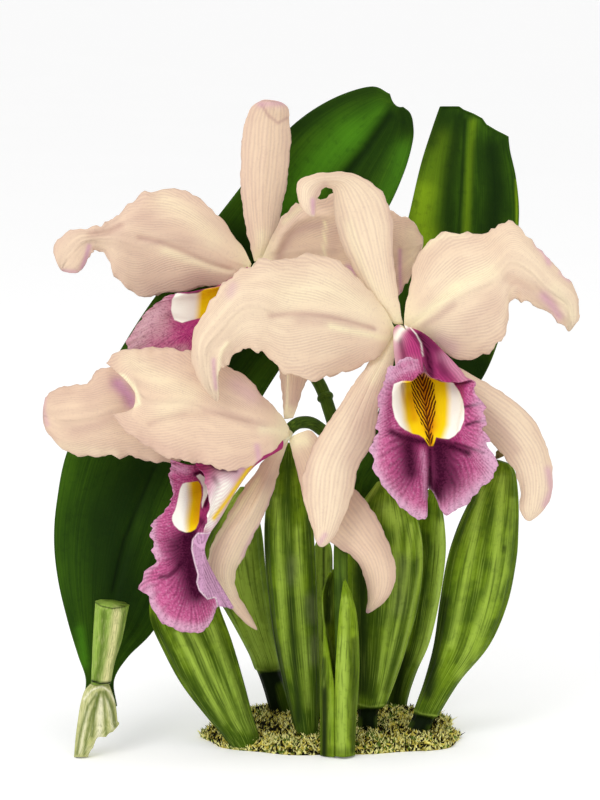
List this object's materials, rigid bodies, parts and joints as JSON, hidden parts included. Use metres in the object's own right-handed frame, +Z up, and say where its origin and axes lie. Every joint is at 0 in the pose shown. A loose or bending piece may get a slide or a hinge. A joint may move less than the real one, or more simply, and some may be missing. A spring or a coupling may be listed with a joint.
{
  "type": "cattleya orchid",
  "caption": "Cattleya orchid plant on a moss mat: cream blooms with a frilled magenta lip on a branching stem, broad leaves, ribbed pseudobulbs and a young shoot.",
  "frame": {"origin": "on the flat underside of the moss mat, below the middle of the plant", "axes": "+Z up, the blooms and the camera's side face -Y, +X to the viewer's right"},
  "size_m": [0.2623, 0.114, 0.3234],
  "materials": {
    "sepal_cream": "soft, cream with a pink tint and fine veins",
    "petal_cream": "soft, cream with fine fanning veins",
    "lip_magenta": "velvety magenta with a yellow and white throat",
    "column_white": "waxy white",
    "leaf_green": "waxy deep green",
    "bulb_green": "ribbed green, satin",
    "stem_green": "smooth dark green",
    "sheath_green": "papery bright green",
    "cut_stalk_green": "pale green, cut across",
    "fragment_straw": "dry, ribbed, straw coloured",
    "dry_leaf_base": "dry, brown",
    "moss": "dry loose moss"
  },
  "bodies": {
    "root": {"moss_mat": "moss", "young_shoot_sheath": "sheath_green", "flower_stem": "stem_green", "leaf_left": "leaf_green", "leaf_right": "leaf_green", "bulb_fragment": "fragment_straw", "cut_stalk": "cut_stalk_green", "leaf_stub": "dry_leaf_base", "pseudobulb_left": "bulb_green", "pseudobulb_left_rear": "bulb_green", "pseudobulb_middle": "bulb_green", "pseudobulb_pale": "bulb_green", "pseudobulb_front_right": "bulb_green", "pseudobulb_right_rear": "bulb_green", "pseudobulb_right": "bulb_green", "bloom_a_dorsal_sepal": "sepal_cream", "bloom_a_left_sepal": "sepal_cream", "bloom_a_right_sepal": "sepal_cream", "bloom_a_left_petal": "petal_cream", "bloom_a_right_petal": "petal_cream", "bloom_a_lip": "lip_magenta", "bloom_a_column": "column_white", "bloom_b_dorsal_sepal": "sepal_cream", "bloom_b_left_sepal": "sepal_cream", "bloom_b_right_sepal": "sepal_cream", "bloom_b_left_petal": "petal_cream", "bloom_b_right_petal": "petal_cream", "bloom_b_lip": "lip_magenta", "bloom_b_column": "column_white", "bloom_c_dorsal_sepal": "sepal_cream", "bloom_c_left_sepal": "sepal_cream", "bloom_c_right_sepal": "sepal_cream", "bloom_c_near_petal": "petal_cream", "bloom_c_far_petal": "petal_cream", "bloom_c_lip": "lip_magenta", "bloom_c_column": "column_white"}
  },
  "joints": []
}
